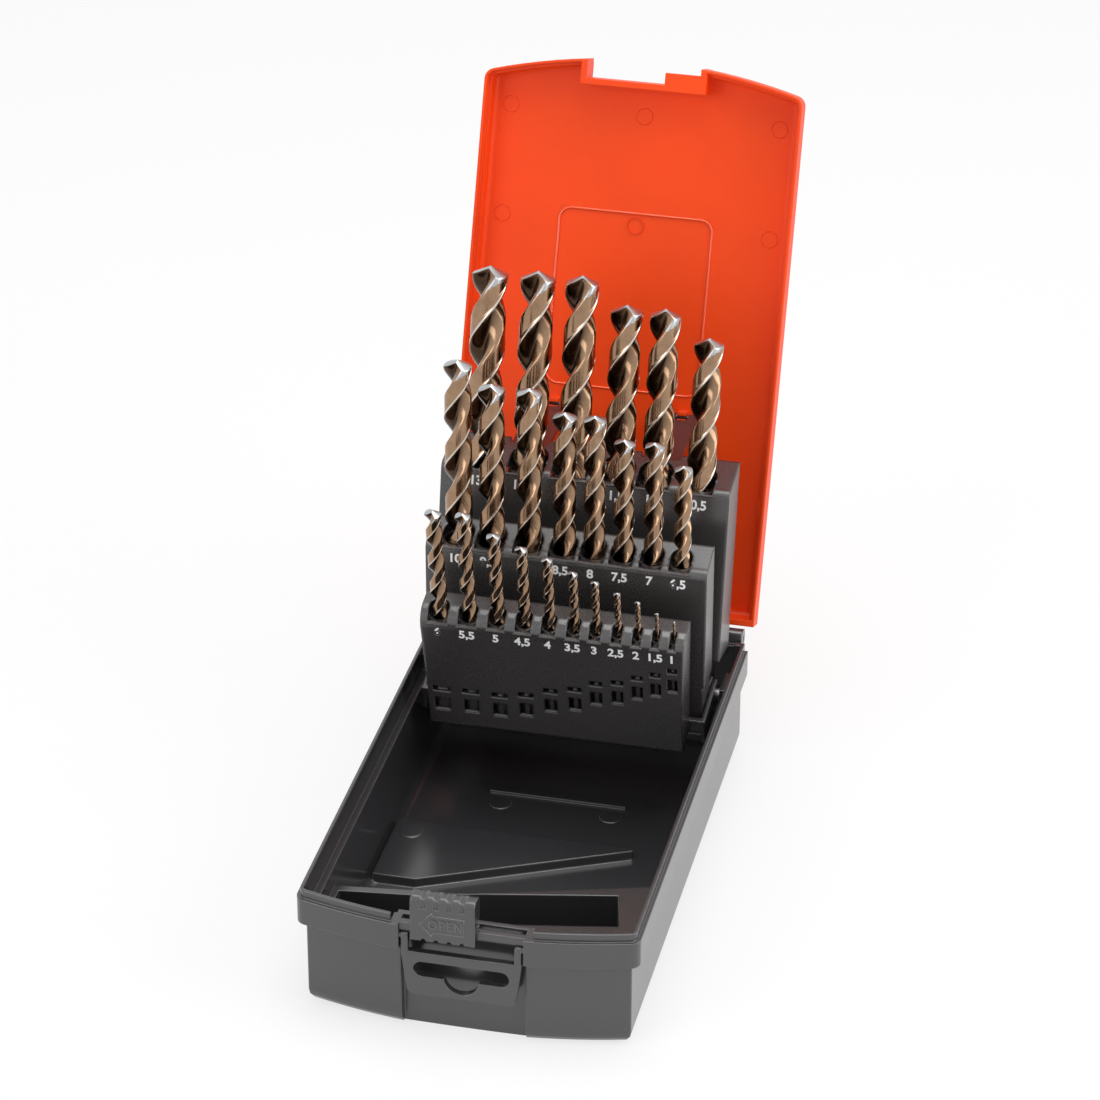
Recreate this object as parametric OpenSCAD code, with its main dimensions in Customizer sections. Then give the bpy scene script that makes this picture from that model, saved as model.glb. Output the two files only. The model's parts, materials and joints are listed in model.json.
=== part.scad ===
// Case for twenty-five twist drills, with a hinged lid, a sliding latch, a hanging tab and three racks that stand up
// as it opens.
// Origin: centre of the base's underside. +Z up, +X to the right, the latch faces -Y. The case is drawn open.

/* [Case] */
// Width across the rims of base and lid
case_w = 117.6; // [117:0.2:124]
// Depth from the front corners to the rear wall
case_d = 194; // [190:1:206]
// Height of the rim band's top
band_z = 43.3; // [43.1:0.1:48]
// Wall of the base
base_wall = 2; // [1.6:0.1:2.2]
// Thickness of the base's floor
floor_t = 2; // [1.6:0.1:2.4]
// How far the front bows out past its corners
bow = 8.5; // [7:0.5:11]
// Rounding of the front corners
corner_r = 4; // [3:0.5:6]
// How far the rim band stands out from the wall
band_proud = 3; // [2.6:0.1:3.2]
// Height of the rim band
band_h = 9.8; // [9:0.2:14]
// Thickness of the wall in the rim band
band_t = 2.4; // [2.3:0.1:2.6]
// How far the lip rises above the band
lip_h = 3; // [2.4:0.1:3.2]
// Rounding along the bottom edges
bottom_r = 5; // [3.5:0.5:6]

/* [Lid] */
// Wall of the lid
lid_wall = 2.2; // [1.6:0.1:2.4]
// Thickness of the lid's panel
lid_panel = 2; // [1.6:0.1:3]
// Rounding of the lid's outer edges
lid_r = 3; // [2:0.5:4]
// Angle the open lid leans back past upright
lid_lean = 21.65; // [20:0.05:23]
// Depth of the notch and of the recess under it
notch_in = 8; // [7.8:0.1:9]
// Width of the catch tongue
tongue_w = 13; // [10:0.5:13]
// Reach of the catch tongue
tongue_reach = 4.5; // [3:0.5:4.5]
// Thickness of the catch tongue
tongue_t = 2.2; // [1.6:0.1:2.4]

/* [Hinge] */
// Distance of the hinge pin behind the rear wall
hinge_out = 4; // [4:0.1:5]
// Diameter of the hinge pin
hinge_pin_d = 2.5; // [2:0.1:4]
// Outside diameter of the knuckles
knuckle_d = 7.4; // [6.6:0.2:7.4]
// Length of the middle knuckle
knuckle_mid = 40; // [30:1:44]
// Length of each lid knuckle
knuckle_lid = 25.7; // [20:0.1:26]
// Length of each outer knuckle
knuckle_end = 9; // [6:0.5:9]

/* [Latch] */
// Width of the slider
latch_w = 22; // [18:0.5:22]
// How far the slider travels
latch_travel = 12; // [8:0.5:12]
// Height of the slider's top above the band
latch_rise = 12.2; // [9:0.1:13]
// Drop of the slider's front face below the band
latch_drop = 4.6; // [4.4:0.1:5]
// Depth of the slider, front to back
latch_d = 7; // [6.6:0.1:7]
// Width of the rail, front to back
rail_w = 2.6; // [2:0.1:2.8]
// Height of the rail
rail_h = 3; // [2.6:0.1:3.2]

/* [Hanging tab] */
// Thickness of the tab
tab_t = 2.5; // [2.2:0.1:3]
// Length of the tab, hinge to tip
tab_len = 22.4; // [21:0.2:26]
// Width of the hanging slot
slot_w = 32.8; // [26:0.2:33]
// Height of the hanging slot
slot_h = 6; // [4:0.5:6]
// Radius of the slot's centre notch
slot_notch_r = 6; // [4:0.5:6]
// Diameter of the tab's trunnions
trunnion_d = 2; // [1.6:0.1:2.2]

/* [Racks] */
// Height of the rack pins above the table
pivot_z = 38; // [37.9:0.1:38.1]
// Distance of the rack pins from the rear wall
pivot_back = 27; // [25:1:34]
// Diameter of the rack pins
rack_pin_d = 4; // [3:0.5:4.5]
// Wall of the racks
rack_wall = 1.5; // [1.2:0.1:1.6]
// Forward lean of the front rack
lean_front = 11; // [9:0.5:13]
// Forward lean of the middle rack
lean_middle = 0; // [-2:0.5:2]
// Backward lean of the back rack
lean_back = 12; // [11:0.5:13]
// Depth of the front rack
front_t = 12.8; // [12.4:0.1:12.8]
// Depth of the middle rack
middle_t = 13.4; // [13:0.1:13.4]
// Depth of the back rack
back_t = 18.2; // [17.8:0.1:18.2]
// Height of the front rack above the pins
front_h = 53; // [50:1:54]
// Height of the middle rack above the pins
middle_h = 61.5; // [59:0.5:66]
// Height of the back rack above the pins
back_h = 78.1; // [77:0.1:79]

/* [Arms] */
// Width of each arm
arm_w = 13.4; // [12:0.2:14]
// Thickness of each arm
arm_t = 1.6; // [1.2:0.1:1.8]
// Distance of each arm from the middle of the case
arm_x = 24.2; // [23:0.1:25]
// Diameter of the rods at the arms' ends
arm_rod_d = 1.8; // [1.4:0.1:2]

/* [Hidden] */
$fn = 64;

black = "#232224";
orange = "#e8521f";
steel = "#b9b9bd";
bronze = "#6f5238";

// Clearances
run = 0.06;         // round pin in a bore, on the radius
press = 0.02;       // pin in the piece that holds it, on the radius
slide = 0.3;        // sliding faces
seat = 0.2;         // lid rim on the band
lip_room = 0.25;    // lid's rim beside and over the lip
side_gap = 1;       // back rack to the side walls
ear_gap = 0.4;      // between the ears on one pin
layer_gap = 1.2;    // between the racks when they lie closed
floor_gap = 2;      // front rack to the floor when closed
lid_gap = 2.5;      // back rack to the lid when closed
bit_gap = 0.15;     // drill in its sleeve, on the radius
notch_gap = 0.6;    // drill in its notch above the ledge, on the radius
eps = 0.02;

// Steps of the bowed front and of the round corners
arc_steps = 20;
corner_steps = 4;

// Heights
lip_z = band_z + lip_h;
rim_z = band_z + seat;
ledge_z = band_z - band_h + 3;
deck_z = 29;

// Plan of the case: straight sides and a front that is one arc
bow_r = (pow(case_w / 2, 2) + pow(bow, 2)) / (2 * bow);
nose_y = -case_d / 2 - bow;
bow_y = nose_y + bow_r;
rear_y = case_d / 2;
lip_back = rear_y - base_wall - 2;
lid_back = rear_y - 0.7;

// Walls, as insets from the rim band
wall_out = band_proud;
wall_in = band_proud + base_wall;
inner_half = case_w / 2 - wall_in;
lip_out = 1.2;

// Front recess for the latch and the tab: as wide as the tab's slot, its frame, its flare and some play
tab_frame = 2.2;
tab_flare = 2;
tab_half = slot_w / 2 + tab_frame;
notch_w = 2 * (tab_half + tab_flare + 0.4);
recess_half = notch_w / 2 + slide;
recess_y = nose_y + notch_in;
cheek_t = 3;

// Hinge
hinge_y = rear_y + hinge_out;
hinge_z = band_z;
knuckle_r = knuckle_d / 2;
knuckle_gap = 0.4;
knuckle_lid_x = knuckle_mid / 2 + knuckle_gap;
knuckle_end_x = knuckle_lid_x + knuckle_lid + knuckle_gap;
hinge_pin_l = 2 * (knuckle_end_x + knuckle_end) - 0.4;

// Latch: the rail runs between the cheeks of the recess
rail_y = nose_y + 4;
rail_z = band_z - rail_h;
latch_x = -notch_w / 2 + 4;
latch_front = nose_y + 0.5;
latch_foot = band_z - latch_drop;
catch_room = tongue_t + 0.7;

// Hanging tab
tab_y = nose_y + 2.5;
tab_z = rail_z - tab_t / 2 - slide;
prong_w = 2.2;
bar_top = 5.6;
slot_drop = 9.2;

// Racks, in a frame at the pins: x across, y to the back, z up the rack
pivot_y = rear_y - pivot_back;
front_b = floor_t + floor_gap - pivot_z;
middle_b = front_b + front_t + layer_gap;
back_b = middle_b + middle_t + layer_gap;
back_end = back_b + back_t;
rack_foot = -3.5;
front_foot = 1.6;
foot_top = 14;
ear_r = 3.9;
ear_s = 7;
back_half = inner_half - side_gap;
middle_half = back_half - 1.8;
front_half = middle_half - 3;
front_ear = inner_half - 1.6;
middle_ear = front_ear - rack_wall - ear_gap;
back_ear = middle_ear - rack_wall - ear_gap;
pin_in = back_ear - rack_wall;
pin_out = case_w / 2 - band_t - 0.4;
pin_pad = 6;

// Rounded edge along the top of each rack, and the rise of its top to the back
front_edge = 6;
middle_edge = 3;
back_edge = 3;
middle_rise = 3.5;
back_rise = 5.9;

// Ledges that the notches stand on, below each rack's top
front_ledge = front_h - 4;
middle_ledge = middle_h - 1.5;
back_ledge = back_h - 2.1;

// Drill axes, measured from the front of each rack
axis_front = front_b + 5.5;
axis_middle = middle_b + 7;
axis_back = back_b + 8.5;

// Lid, drawn closed and then swung back
lid_top = pivot_z + back_end + lid_gap + lid_panel;
lid_ceiling = lid_top - lid_panel;
lid_open = -(90 + lid_lean);

// Arms: pivot in the lid, when closed, and rod in the back rack's lug
clip_y = hinge_y - 78;
clip_z = lid_ceiling - 2;
clip_w = 3.4;
lug_s = back_h + 3.9;
lug_b = back_end - 0.3;
lug_float = 5;
lug_w = 3.4;
fork_gap = 4.6;
arm_band = arm_w / 2 + 0.3;
function swung(y, z, a) = [hinge_y + (y - hinge_y) * cos(a) - (z - hinge_z) * sin(a),
    hinge_z + (y - hinge_y) * sin(a) + (z - hinge_z) * cos(a)];
clip_open = swung(clip_y, clip_z, lid_open);
rod_open = [pivot_y + lug_b * cos(lean_back) + lug_s * sin(lean_back),
    pivot_z - lug_b * sin(lean_back) + lug_s * cos(lean_back)];
arm_l = norm(clip_open - rod_open);
arm_tilt = atan2(clip_open[1] - rod_open[1], clip_open[0] - rod_open[0]);

// Rows of drills: diameter, place across a case of the usual width, height of the seat above the pins
usual_w = 117.6;
row_back = spread([[13, -39.8], [12.5, -22.3], [12, -6.2], [11.5, 10.4], [11, 24.4], [10.5, 40.6]],
    rack_foot + 1.9);
row_middle = spread([[10, -40.3], [9.5, -28.2], [9, -14.6], [8.5, -1.9], [8, 8.9], [7.5, 19.5], [7, 30.2],
    [6.5, 40.6]], rack_foot + 2);
row_front = spread([[6, -41.3, 3.7], [5.5, -30.6, 4], [5, -20.1, 3.1], [4.5, -10.4, 4.6], [4, -1.3, 5.9],
    [3.5, 7.6, 5.9], [3, 15.4, 11.8], [2.5, 23.2, 11.7], [2, 30.4, 16.7], [1.5, 37.1, 21.4], [1, 43.2, 24.5]]);

// Spreads a row with the case, and gives its seats one height where they have none of their own
function spread(row, height) = [for (p = row) [p[0], p[1] * case_w / usual_w, len(p) > 2 ? p[2] : height]];

// Height of the lower windows in the front rack, one under each drill
windows = [7.7, 8, 7.8, 9.5, 12.9, 15.1, 19.1, 20.8, 24.2, 26.7, 29.5];

// Standard jobber lengths: diameter, whole length, flute length
jobber = [[1, 34, 12], [1.5, 40, 18], [2, 49, 24], [2.5, 57, 30], [3, 61, 33], [3.5, 70, 39], [4, 75, 43],
    [4.5, 80, 47], [5, 86, 52], [5.5, 93, 57], [6, 93, 57], [6.5, 101, 63], [7, 109, 69], [7.5, 109, 69],
    [8, 117, 75], [8.5, 117, 75], [9, 125, 81], [9.5, 125, 81], [10, 133, 87], [10.5, 133, 87],
    [11, 142, 94], [11.5, 142, 94], [12, 151, 101], [12.5, 151, 101], [13, 151, 101]];

// Section of the flutes over half a turn: angle and radius as a share of the drill's
flute_section = [[0, 1], [22, 1], [44, 0.97], [68, 0.6], [102, 0.36], [146, 0.66]];
helix = 29;
point_angle = 130;
ring_turn = 30;

// Outline of the case, drawn in from the rim band by inset, with its rear edge at back
function outline(inset, back) =
    let (r_arc = bow_r - inset, half = case_w / 2 - inset, r = max(corner_r - inset, 0.6), cx = half - r,
        reach = r_arc - r, cy = bow_y - sqrt(reach * reach - cx * cx), turn = asin(cx / reach),
        corner = [for (i = [1 : corner_steps]) let (a = turn + (90 - turn) * i / corner_steps)
            [cx + r * sin(a), cy - r * cos(a)]])
    concat(
        [for (i = [0 : arc_steps]) let (a = turn * (2 * i / arc_steps - 1))
            [r_arc * sin(a), bow_y - r_arc * cos(a)]],
        corner, [[half, back], [-half, back]],
        [for (i = [corner_steps - 1 : -1 : 0]) [-corner[i][0], corner[i][1]]]);

// Solid through rings of as many points each, listed upwards
module lofted(rings) {
    n = len(rings[0]);
    last = len(rings) - 1;
    polyhedron(
        points = [for (q = rings, p = q) p],
        faces = concat([[for (j = [0 : n - 1]) j]], [[for (j = [n - 1 : -1 : 0]) last * n + j]],
            [for (i = [0 : last - 1], j = [0 : n - 1]) [i * n + j, (i + 1) * n + j, i * n + (j + 1) % n]],
            [for (i = [0 : last - 1], j = [0 : n - 1])
                [i * n + (j + 1) % n, (i + 1) * n + j, (i + 1) * n + (j + 1) % n]]),
        convexity = 6);
}

// Flat piece of the outline
module slab(inset, back, low, high) {
    translate([0, 0, low]) linear_extrude(high - low) polygon(outline(inset, back));
}

// The outline with its lower edges rounded by r, as rings of points joined by triangles
module tub(inset, back, low, high, r) {
    rings = concat([for (a = [0 : 22.5 : 90]) let (drawn_in = r * (1 - sin(a)))
        [for (p = outline(inset + drawn_in, back - drawn_in)) [p[0], p[1], low + r * (1 - cos(a))]]],
        [[for (p = outline(inset, back)) [p[0], p[1], high]]]);
    lofted(rings);
}

// Box between two corners
module block(a, b) {
    translate(a) cube(b - a);
}

// Box mirrored on both sides of the middle
module twin_block(a, b) {
    for (m = [0, 1]) mirror([m, 0, 0]) block(a, b);
}

// Round bar along X, centred on the middle of the case or starting at x
module bar(x, y, z, l, d) {
    translate([x, y, z]) rotate([0, 90, 0]) cylinder(d = d, h = l);
}

// Profile drawn in y and z, extruded along X
module along_x(x, l) {
    translate([x, 0, 0]) rotate([90, 0, 90]) linear_extrude(l) children();
}

// Profile drawn in x and z, extruded along Y
module along_y(y, l) {
    translate([0, y + l, 0]) rotate([90, 0, 0]) linear_extrude(l) children();
}

// ---- Base ----

// Plans of the floor's details, measured from the rack pins: they follow the drills' points in the shut case
step_plan = [[-52.6, -92.7], [-37.2, -92.7], [33.6, -58.3], [33.6, -57.7], [-52.6, -57.7]];
deck_plan = [[-56, -136.8], [-7.6, -131.3], [56, -111.8], [56, -180], [-56, -180]];
pocket_plan = [[-51.5, -139.5], [-28.1, -136.6], [-2.1, -130.3], [41.7, -121], [45.9, -138.8], [17.5, -144.5],
    [-51.5, -157]];
under_plan = [[46, -142], [17.5, -146.2], [-40, -156.8], [-40, -161], [-25.5, -163.6], [25.5, -163.6],
    [46, -161.5]];

module plan(points, low, high) {
    translate([0, pivot_y, low]) linear_extrude(high - low) polygon(points);
}

// Low step with a sloping front, a bead and three ejector marks
module floor_details() {
    step_h = 3;
    slope = 1.4;
    lofted([for (level = [0, 1]) [for (p = step_plan)
        [p[0], pivot_y + p[1] - (p[1] < -58 ? (1 - level) * slope : 0), floor_t - eps + level * step_h]]]);
    bead_w = 1.2;
    block([-25.7, pivot_y - 27.4 - bead_w, floor_t - eps], [24.5, pivot_y - 27.4, floor_t + 1]);
    for (p = [[-20.4, -34.5], [20.4, -34.5], [-46, -64]])
        translate([p[0], pivot_y + p[1], floor_t - eps]) cylinder(r = 4, h = 0.3 + (p[0] < -40 ? step_h : 0));
}

// Raised deck at the front, with the pocket for the points of the long drills
module deck() {
    difference() {
        intersection() {
            plan(deck_plan, floor_t - eps, deck_z);
            tub(wall_out + 1, rear_y - 1, 1, band_z, bottom_r);
        }
        plan(pocket_plan, floor_t, deck_z + 1);
    }
}

// The wall steps out at the ledge to form the rim band, and ends in a lip inside the lid's rim
module base_walls() {
    difference() {
        union() {
            tub(wall_out, rear_y, 0, band_z, bottom_r);
            slab(0, lip_back, band_z - band_h, band_z);
            slab(lip_out, lip_back, band_z - 1, lip_z);
        }
        tub(wall_in, rear_y - base_wall, floor_t, lip_z + 1, bottom_r - base_wall);
        difference() {
            slab(band_t, lip_back - base_wall, ledge_z, lip_z + 1);
            twin_block([inner_half, pivot_y - pin_pad, 0], [case_w / 2, pivot_y + pin_pad, band_z]);
        }
        // The lip stops short of the lid's notch
        twin_block([0, nose_y - 1, band_z], [recess_half + cheek_t, recess_y + lid_wall + slide, lip_z + 1]);
    }
}

// Recess in the front wall, its cheeks and the rail that the latch slides on
module recess() {
    difference() {
        union() {
            intersection() {
                twin_block([0, nose_y, 0], [recess_half + base_wall, recess_y + base_wall, band_z]);
                tub(wall_out, rear_y, 0, band_z, bottom_r);
            }
            intersection() {
                twin_block([recess_half, nose_y, band_z - band_h], [recess_half + cheek_t, recess_y, band_z]);
                slab(0, rear_y, 0, band_z);
            }
        }
        twin_block([-eps, nose_y - 1, -1], [recess_half, recess_y, band_z + 1]);
    }
    rail_half = recess_half + 1;
    block([-rail_half, rail_y - rail_w / 2, rail_z], [rail_half, rail_y + rail_w / 2, band_z]);
}

module knuckle(x, l) {
    bar(x, hinge_y, hinge_z, l, knuckle_d);
}

module base_knuckle(x, l) {
    knuckle(x, l);
    drop = 13;
    along_x(x, l) polygon([[rear_y - 0.5, hinge_z], [hinge_y + knuckle_r * 0.5, hinge_z],
        [hinge_y + knuckle_r * 0.8, hinge_z - knuckle_r * 0.6], [rear_y - 0.5, hinge_z - drop]]);
}

module base() {
    color(black)
    difference() {
        union() {
            difference() {
                union() {
                    base_walls();
                    deck();
                }
                block([-recess_half, nose_y - 1, -1], [recess_half, recess_y, lip_z + 1]);
            }
            recess();
            base_knuckle(-knuckle_mid / 2, knuckle_mid);
            for (m = [0, 1]) mirror([m, 0, 0]) base_knuckle(knuckle_end_x, knuckle_end);
            floor_details();
        }
        plan(under_plan, -1, deck_z - base_wall);
        bar(-case_w / 2, hinge_y, hinge_z, case_w, hinge_pin_d + 2 * press);
        for (m = [0, 1]) mirror([m, 0, 0]) {
            bar(inner_half - 1, pivot_y, pivot_z, pin_out - inner_half + 1.2, rack_pin_d + 2 * press);
            bar(recess_half - 1, tab_y, tab_z, 2.5, trunnion_d + 2 * run);
            // Window left by the mould's core beside the hinge
            block([inner_half - 1, rear_y - 13.3, 26], [case_w / 2 - wall_out + 1, rear_y - 8.8, 33]);
        }
    }
}

// ---- Lid ----

module lid_shell() {
    translate([0, 0, rim_z + lid_top]) mirror([0, 0, 1]) difference() {
        tub(0, lid_back, rim_z, lid_top, lid_r);
        tub(lid_wall, lid_back - lid_wall, rim_z + lid_panel, lid_top + 1, lid_r - 1);
    }
}

// Room in the lid's rim for the lip of the base, clear of the notch
module rabbet() {
    clear = notch_w / 2 + lid_wall;
    difference() {
        slab(lip_out - lip_room, lid_back - lid_wall, rim_z - 1, lip_z + lip_room);
        block([-clear, nose_y - 1, 0], [clear, recess_y + lid_wall, lid_top]);
    }
}

// Notch in the lid's front for the latch, with the tongue that the latch catches
module lid_notch() {
    half = notch_w / 2;
    difference() {
        union() {
            lid_shell();
            intersection() {
                block([-half - lid_wall, nose_y, rim_z], [half + lid_wall, recess_y + lid_wall, lid_top - 1]);
                slab(0, rear_y, 0, lid_top);
            }
        }
        block([-half, nose_y - 1, rim_z - 1], [half, recess_y, lid_top + 1]);
    }
    block([half - tongue_w, recess_y - tongue_reach, rim_z], [half + 1, recess_y + 1, rim_z + tongue_t]);
}

// Clip that holds an arm's rod, open towards the tray
module clip(x) {
    r = arm_rod_d / 2 + run;
    difference() {
        block([x - clip_w / 2, clip_y - 2, clip_z - 1.6], [x + clip_w / 2, clip_y + 2, lid_ceiling + 0.5]);
        bar(x - clip_w, clip_y, clip_z, 2 * clip_w, 2 * r);
        block([x - clip_w, clip_y - 0.6, clip_z - 3], [x + clip_w, clip_y + 0.6, clip_z - 0.3]);
    }
}

module lid() {
    color(orange)
    translate([0, hinge_y, hinge_z]) rotate([lid_open, 0, 0]) translate([0, -hinge_y, -hinge_z]) {
        difference() {
            union() {
                lid_notch();
                for (m = [0, 1]) mirror([m, 0, 0]) {
                    knuckle(knuckle_lid_x, knuckle_lid);
                    block([knuckle_lid_x, lid_back - lid_wall, rim_z], [knuckle_lid_x + knuckle_lid, hinge_y,
                        hinge_z + knuckle_r]);
                }
            }
            bar(-case_w / 2, hinge_y, hinge_z, case_w, hinge_pin_d + 2 * run);
            rabbet();
            // Shallow panel inside the lid
            panel_half = 28.6;
            panel_far = hinge_y - 150.5;
            panel_near = hinge_y - 85.4;
            block([-panel_half, panel_far, lid_ceiling - 1], [panel_half, panel_near, lid_ceiling + 0.4]);
        }
        for (m = [0, 1]) mirror([m, 0, 0]) {
            clip(arm_x);
            // Snap tabs on the side walls
            for (along = [48, 100])
                block([case_w / 2 - lid_wall - 0.8, hinge_y - along - 3, lip_z + 1],
                    [case_w / 2 - lid_wall + 0.5, hinge_y - along + 3, lip_z + 2.6]);
        }
    }
}

// ---- Latch and hanging tab ----

module latch_slider() {
    back = latch_front + latch_d;
    top = band_z + latch_rise;
    crown = 2.4;
    ribs = 5;
    color(black)
    difference() {
        along_x(latch_x, latch_w) polygon(concat([[latch_front, latch_foot], [back, latch_foot]],
            [for (a = [0 : 22.5 : 90]) [back - crown * (1 - cos(a)), top - crown * (1 - sin(a))]],
            [for (a = [0 : 22.5 : 90]) [latch_front + crown * (1 - sin(a)), top - crown * (1 - cos(a))]]));
        // Room for the rail, and above it for the lid's tongue
        block([latch_x - 1, rail_y - rail_w / 2 - slide, rail_z - slide],
            [latch_x + latch_w + 1, rail_y + rail_w / 2 + slide, band_z + slide]);
        block([latch_x - 1, rail_y - rail_w / 2 - slide, band_z],
            [latch_x + latch_w + 1, back + 1, band_z + catch_room]);
        // Thumb grooves over the top and scallops along the foot
        for (i = [1 : ribs - 1]) translate([latch_x + latch_w * i / ribs, 0, 0]) {
            translate([0, back + 1, top + 0.5]) rotate([90, 0, 0]) cylinder(r = 1.2, h = latch_d + 2);
            translate([0, latch_front - 0.5, top - 4.2]) cylinder(r = 1.1, h = 5);
            translate([0, latch_front - 0.6, latch_foot]) rotate([-90, 0, 0]) cylinder(r = 0.9, h = 2);
        }
    }
}

module hanger_tab() {
    low = tab_z - tab_len;
    bar_z = tab_z - bar_top;
    slot_z = tab_z - slot_drop;
    edge = 1.5;
    front = tab_y - tab_t / 2;
    slot_flat = (slot_w - slot_h) / 2;
    color(black)
    difference() {
        union() {
            along_y(front, tab_t) polygon([
                [-tab_half + edge, low], [tab_half - edge, low], [tab_half, low + edge],
                [tab_half + tab_flare, bar_z], [-tab_half - tab_flare, bar_z], [-tab_half, low + edge]]);
            for (m = [0, 1]) mirror([m, 0, 0]) {
                block([tab_half - 0.4, front, bar_z - 1], [tab_half - 0.4 + prong_w, front + tab_t, tab_z]);
                bar(tab_half - 0.4, tab_y, tab_z, prong_w, tab_t);
                bar(tab_half - 0.4, tab_y, tab_z, recess_half + 1.2 - tab_half, trunnion_d);
            }
        }
        // Slot with round ends, and the notch below its middle
        for (x = [-slot_flat, slot_flat]) translate([x, front - 1, slot_z - slot_h / 2])
            rotate([-90, 0, 0]) cylinder(d = slot_h, h = tab_t + 2);
        block([-slot_flat, front - 1, slot_z - slot_h], [slot_flat, front + tab_t + 1, slot_z]);
        translate([0, front - 1, slot_z - slot_h + 0.6]) rotate([-90, 0, 0])
            cylinder(r = slot_notch_r, h = tab_t + 2);
    }
    // The slot's roof stays flat above the notch
    color(black) block([-slot_w / 2, front, slot_z], [slot_w / 2, front + tab_t, bar_z]);
}

// ---- Pins ----

module hinge_pin() {
    color(steel) bar(-hinge_pin_l / 2, hinge_y, hinge_z, hinge_pin_l, hinge_pin_d);
}

module rack_pin() {
    color(steel) bar(pin_in, pivot_y, pivot_z, pin_out - pin_in, rack_pin_d);
}

module rack_pin_left() {
    mirror([1, 0, 0]) rack_pin();
}

module rack_pin_right() {
    rack_pin();
}

// ---- Racks ----

// Stands a rack, drawn at its pins, at its lean
module stand(lean) {
    translate([0, pivot_y, pivot_z]) rotate([lean, 0, 0]) children();
}

// Side view of a rack, drawn in by t from its front and top; the top's front edge is rounded by r
function rack_side(b, depth, foot, h, rise, r, t) = concat([[b + depth + t, foot + t], [b + t, foot + t]],
    [for (a = [0 : 22.5 : 90]) [b + r - (r - t) * cos(a), h - r + (r - t) * sin(a)]],
    [[b + depth + t, h - t + rise * (depth - r + t) / (depth - r)]]);

// Front view of a rack: half its width at the foot, above the foot and at the top, drawn in by t
function rack_front_view(foot_half, low_half, half, foot, h, t) = [[-foot_half + t, foot - 1],
    [foot_half - t, foot - 1], [foot_half - t, foot_top + t], [low_half - t, foot_top + t], [half - t, h],
    [-half + t, h], [-low_half + t, foot_top + t], [-foot_half + t, foot_top + t]];

// Shell that is open at the back
module rack_shell(b, depth, foot, h, rise, r, halves) {
    room = 12;
    difference() {
        intersection() {
            along_x(-halves[2], 2 * halves[2]) polygon(rack_side(b, depth, foot, h, rise, r, 0));
            along_y(b, depth) polygon(rack_front_view(halves[0], halves[1], halves[2], foot, h + room, 0));
        }
        intersection() {
            along_x(-halves[2], 2 * halves[2]) polygon(rack_side(b, depth, foot, h, rise, r, rack_wall));
            along_y(b, depth + 2)
                polygon(rack_front_view(halves[0], halves[1], halves[2], foot, h + room, rack_wall));
        }
    }
}

// Sleeve around one drill, tied to the rack's front wall
module sleeve(p, b, axis, top) {
    r = p[0] / 2 + 1.3;
    web = min(1.6, p[0]);
    translate([p[1], axis, p[2] - 1]) cylinder(r = r, h = top - p[2] + 1);
    block([p[1] - web / 2, b + rack_wall - 0.2, p[2] - 1], [p[1] + web / 2, axis, top]);
}

// Bore for one drill, and the notch above the ledge that shows it
module drill_hole(p, b, axis, ledge, top) {
    notch_r = p[0] / 2 + notch_gap;
    translate([p[1], axis, p[2]]) cylinder(r = p[0] / 2 + bit_gap, h = top);
    translate([p[1], axis, ledge]) cylinder(r = notch_r, h = top);
    block([p[1] - notch_r, b - 1, ledge], [p[1] + notch_r, axis, ledge + top]);
}

module rack(row, b, depth, foot, h, rise, r, halves, axis, ledge) {
    deck = h + rise * (axis - b - r) / (depth - r);
    difference() {
        union() {
            rack_shell(b, depth, foot, h, rise, r, halves);
            for (p = row) sleeve(p, b, axis, deck - 0.3);
        }
        for (p = row) drill_hole(p, b, axis, ledge, h);
    }
}

// Ear beside a rack that reaches the common pin
module ear(outer, from_b) {
    bar(outer - rack_wall, 0, 0, rack_wall, 2 * ear_r);
    block([outer - rack_wall, from_b, -ear_r + 1], [outer, 0, ear_s]);
}

module pin_holes() {
    for (m = [0, 1]) mirror([m, 0, 0]) bar(pin_in - 0.3, 0, 0, inner_half - pin_in, rack_pin_d + 2 * run);
}

module rack_front() {
    rear = front_b + front_t;
    low_half = front_half - 1.7;
    color(black) stand(lean_front)
    difference() {
        union() {
            rack(row_front, front_b, front_t, front_foot, front_h, 0, front_edge,
                [low_half, low_half, front_half], axis_front, front_ledge);
            for (m = [0, 1]) mirror([m, 0, 0]) {
                ear(front_ear, rear - 2);
                block([low_half - rack_wall, rear - 2, front_foot], [front_ear, rear, ear_s]);
            }
        }
        pin_holes();
        // Windows and slits in the front wall
        for (i = [0 : len(row_front) - 1]) {
            d = row_front[i][0];
            translate([row_front[i][1], front_b - 1, windows[i]]) {
                block([-1.65 - 0.2 * d, 0, 0], [1.65 + 0.2 * d, 1 + rack_wall, 6.2]);
                block([-1.5 - 0.3 * d, 0, 9], [1.5 + 0.3 * d, 1 + rack_wall, 11.4]);
            }
        }
    }
}

module rack_middle() {
    color(black) stand(lean_middle)
    difference() {
        union() {
            rack(row_middle, middle_b, middle_t, rack_foot, middle_h, middle_rise, middle_edge,
                [middle_ear, middle_half, middle_half], axis_middle, middle_ledge);
            for (m = [0, 1]) mirror([m, 0, 0]) ear(middle_ear, middle_b + middle_t - 2);
        }
        pin_holes();
    }
}

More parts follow.
